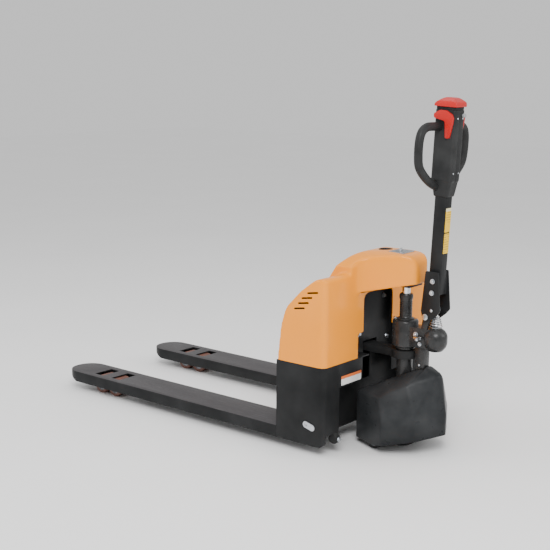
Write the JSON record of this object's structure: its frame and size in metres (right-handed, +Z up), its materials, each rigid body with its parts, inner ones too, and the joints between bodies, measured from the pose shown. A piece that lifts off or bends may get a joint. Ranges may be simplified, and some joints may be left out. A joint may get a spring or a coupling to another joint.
{
  "type": "pallet jack",
  "caption": "Semi-electric pallet jack with two forks, orange body cover, steering drive unit, hand pump lift and upright loop-grip tiller.",
  "frame": {"origin": "floor level, middle of the overall length and width", "axes": "+X toward the fork tips, +Y toward the left fork seen from the tiller, +Z up"},
  "size_m": [1.7779, 0.691, 1.3172],
  "materials": {
    "painted_steel": "satin black powder coat",
    "orange_plastic": "glossy moulded",
    "black_plastic": "fine moulded grain",
    "skirt_plastic": "moulded, satin",
    "zinc_steel": "zinc plated",
    "chrome": "hard chrome, polished",
    "cast_iron": "painted casting",
    "bare_steel": "machined",
    "red_plastic": "moulded",
    "polyurethane": "cast polyurethane, brown",
    "rubber": "moulded",
    "tyre": "vulkanised rubber",
    "grey_plastic": "moulded",
    "battery_case": "moulded"
  },
  "bodies": {
    "chassis": {"fork_left": "painted_steel", "fork_right": "painted_steel", "side_casing_left": "painted_steel", "side_casing_right": "painted_steel", "front_plate": "painted_steel", "rear_bulkhead": "painted_steel", "equipment_shelf": "painted_steel", "tower_panel": "painted_steel", "head_bracket": "painted_steel", "body_cover": "orange_plastic", "console_plate": "grey_plastic", "battery_gauge": "black_plastic", "stop_collar": "black_plastic", "battery_left": "battery_case", "battery_right": "battery_case", "motor_controller": "bare_steel", "rocker_shaft": "zinc_steel", "ram": "chrome", "arm_pin_left": "zinc_steel", "arm_pin_right": "zinc_steel", "keeper_plate_left": "zinc_steel", "keeper_plate_right": "zinc_steel", "steering_buffer_left": "rubber", "steering_buffer_right": "rubber"},
    "thrust_yoke": {"thrust_yoke": "cast_iron"},
    "rocker": {"rocker": "painted_steel"},
    "drive_unit": {"pump_body": "cast_iron", "tilt_pin": "zinc_steel", "drive_frame": "cast_iron", "traction_motor": "cast_iron", "drive_cover": "skirt_plastic", "plunger_spring": "chrome"},
    "pump_plunger": {"pump_plunger": "chrome"},
    "release_lever": {"release_lever": "zinc_steel"},
    "drive_wheel": {"drive_hub": "cast_iron", "drive_tyre": "tyre"},
    "tiller": {"tiller_base": "painted_steel", "cam_roller": "zinc_steel", "tiller_tube": "painted_steel", "head_housing": "black_plastic", "grip_left": "black_plastic", "grip_right": "black_plastic"},
    "finger_lever": {"finger_lever": "black_plastic"},
    "throttle": {"throttle_butterfly": "red_plastic"},
    "belly_button": {"belly_button": "red_plastic"},
    "horn_button": {"horn_button": "grey_plastic"},
    "stop_button": {"stop_button": "red_plastic"},
    "key_switch": {"key_switch": "zinc_steel"},
    "push_rod_left": {"push_rod_left": "bare_steel"},
    "load_arm_left": {"load_arm_left": "painted_steel"},
    "bogie_left": {"bogie_left": "zinc_steel"},
    "load_roller_front_left": {"load_roller_front_left": "polyurethane"},
    "load_roller_rear_left": {"load_roller_rear_left": "polyurethane"},
    "stabiliser_wheel_left": {"stabiliser_wheel_left": "grey_plastic"},
    "push_rod_right": {"push_rod_right": "bare_steel"},
    "load_arm_right": {"load_arm_right": "painted_steel"},
    "bogie_right": {"bogie_right": "zinc_steel"},
    "load_roller_front_right": {"load_roller_front_right": "polyurethane"},
    "load_roller_rear_right": {"load_roller_rear_right": "polyurethane"},
    "stabiliser_wheel_right": {"stabiliser_wheel_right": "grey_plastic"}
  },
  "joints": [
    {"name": "lift", "type": "slide", "parent": "chassis", "child": "thrust_yoke", "axis": [0, 0, -1], "range_m": [0, 0.115]},
    {"name": "steer", "type": "hinge", "parent": "thrust_yoke", "child": "drive_unit", "pos_m": [-0.6762, 0, 0.36], "axis": [0, 0, 1], "range_deg": [-80, 80]},
    {"name": "tiller_tilt", "type": "hinge", "parent": "drive_unit", "child": "tiller", "pos_m": [-0.7842, 0, 0.519], "axis": [0, -1, 0], "range_deg": [0, 70], "stiffness_Nm_per_rad": 40, "springref_deg": -22.92},
    {"name": "pump_stroke", "type": "slide", "parent": "drive_unit", "child": "pump_plunger", "axis": [0, 0, -1], "range_m": [0, 0.0425], "deforming": ["plunger_spring"]},
    {"name": "drive_wheel_spin", "type": "hinge", "parent": "drive_unit", "child": "drive_wheel", "pos_m": [-0.6762, 0, 0.1], "axis": [0, 1, 0], "continuous": true},
    {"name": "finger_lever_rock", "type": "hinge", "parent": "tiller", "child": "finger_lever", "pos_m": [-0.83135, -0.034, 1.15929], "axis": [0.9989, 0, 0.0471], "range_deg": [-12, 12], "stiffness_Nm_per_rad": 0.6},
    {"name": "release_turn", "type": "hinge", "parent": "drive_unit", "child": "release_lever", "pos_m": [-0.7582, 0.042, 0.436], "axis": [1, 0, 0], "range_deg": [-9, 9]},
    {"name": "throttle_turn", "type": "hinge", "parent": "tiller", "child": "throttle", "pos_m": [-0.83187, 0, 1.25526], "axis": [0, 1, 0], "range_deg": [-15, 15], "stiffness_Nm_per_rad": 0.5},
    {"name": "belly_press", "type": "slide", "parent": "tiller", "child": "belly_button", "axis": [0.0471, 0, -0.9989], "range_m": [0, 0.008], "stiffness_N_per_m": 1500, "springref_m": -0.004},
    {"name": "horn_press", "type": "slide", "parent": "tiller", "child": "horn_button", "axis": [0.9989, 0, 0.0471], "range_m": [0, 0.004], "stiffness_N_per_m": 400, "springref_m": -0.003},
    {"name": "stop_press", "type": "slide", "parent": "chassis", "child": "stop_button", "axis": [0, 0, -1], "range_m": [0, 0.006], "stiffness_N_per_m": 1200, "springref_m": -0.004},
    {"name": "key_turn", "type": "hinge", "parent": "chassis", "child": "key_switch", "pos_m": [-0.6322, -0.022, 0.74], "axis": [0, 0, 1], "range_deg": [0, 90]},
    {"name": "rocker_turn", "type": "hinge", "parent": "chassis", "child": "rocker", "pos_m": [-0.3572, 0, 0.08322], "axis": [0, -1, 0], "range_deg": [0, 70.8]},
    {"name": "push_rod_slide_left", "type": "slide", "parent": "chassis", "child": "push_rod_left", "axis": [1, 0, 0], "range_m": [0, 0.0181]},
    {"name": "load_arm_swing_left", "type": "hinge", "parent": "chassis", "child": "load_arm_left", "pos_m": [0.4838, 0.2625, 0.046], "axis": [0, 1, 0], "range_deg": [0, 43.79]},
    {"name": "bogie_rock_left", "type": "hinge", "parent": "load_arm_left", "child": "bogie_left", "pos_m": [0.6543, 0.2625, 0.039], "axis": [0, -1, 0], "range_deg": [0, 43.79]},
    {"name": "front_roller_spin_left", "type": "hinge", "parent": "bogie_left", "child": "load_roller_front_left", "pos_m": [0.6968, 0.2625, 0.039], "axis": [0, 1, 0], "continuous": true},
    {"name": "rear_roller_spin_left", "type": "hinge", "parent": "bogie_left", "child": "load_roller_rear_left", "pos_m": [0.6118, 0.2625, 0.039], "axis": [0, 1, 0], "continuous": true},
    {"name": "stabiliser_spin_left", "type": "hinge", "parent": "drive_unit", "child": "stabiliser_wheel_left", "pos_m": [-0.6242, 0.108, 0.03], "axis": [0, 1, 0], "continuous": true},
    {"name": "push_rod_slide_right", "type": "slide", "parent": "chassis", "child": "push_rod_right", "axis": [1, 0, 0], "range_m": [0, 0.0181]},
    {"name": "load_arm_swing_right", "type": "hinge", "parent": "chassis", "child": "load_arm_right", "pos_m": [0.4838, -0.2625, 0.046], "axis": [0, 1, 0], "range_deg": [0, 43.79]},
    {"name": "bogie_rock_right", "type": "hinge", "parent": "load_arm_right", "child": "bogie_right", "pos_m": [0.6543, -0.2625, 0.039], "axis": [0, -1, 0], "range_deg": [0, 43.79]},
    {"name": "front_roller_spin_right", "type": "hinge", "parent": "bogie_right", "child": "load_roller_front_right", "pos_m": [0.6968, -0.2625, 0.039], "axis": [0, 1, 0], "continuous": true},
    {"name": "rear_roller_spin_right", "type": "hinge", "parent": "bogie_right", "child": "load_roller_rear_right", "pos_m": [0.6118, -0.2625, 0.039], "axis": [0, 1, 0], "continuous": true},
    {"name": "stabiliser_spin_right", "type": "hinge", "parent": "drive_unit", "child": "stabiliser_wheel_right", "pos_m": [-0.6242, -0.108, 0.03], "axis": [0, 1, 0], "continuous": true}
  ],
  "couplings": [
    {"joint": "pump_stroke", "follows": "tiller_tilt", "m_per_rad": 0.03389},
    {"joint": "release_turn", "follows": "finger_lever_rock", "ratio": -0.7},
    {"joint": "rocker_turn", "follows": "lift", "rad_per_m": 10.654},
    {"joint": "push_rod_slide_left", "follows": "lift", "ratio": 0.15395},
    {"joint": "load_arm_swing_left", "follows": "lift", "rad_per_m": 6.5696},
    {"joint": "bogie_rock_left", "follows": "lift", "rad_per_m": 6.5696},
    {"joint": "push_rod_slide_right", "follows": "lift", "ratio": 0.15395},
    {"joint": "load_arm_swing_right", "follows": "lift", "rad_per_m": 6.5696},
    {"joint": "bogie_rock_right", "follows": "lift", "rad_per_m": 6.5696}
  ]
}
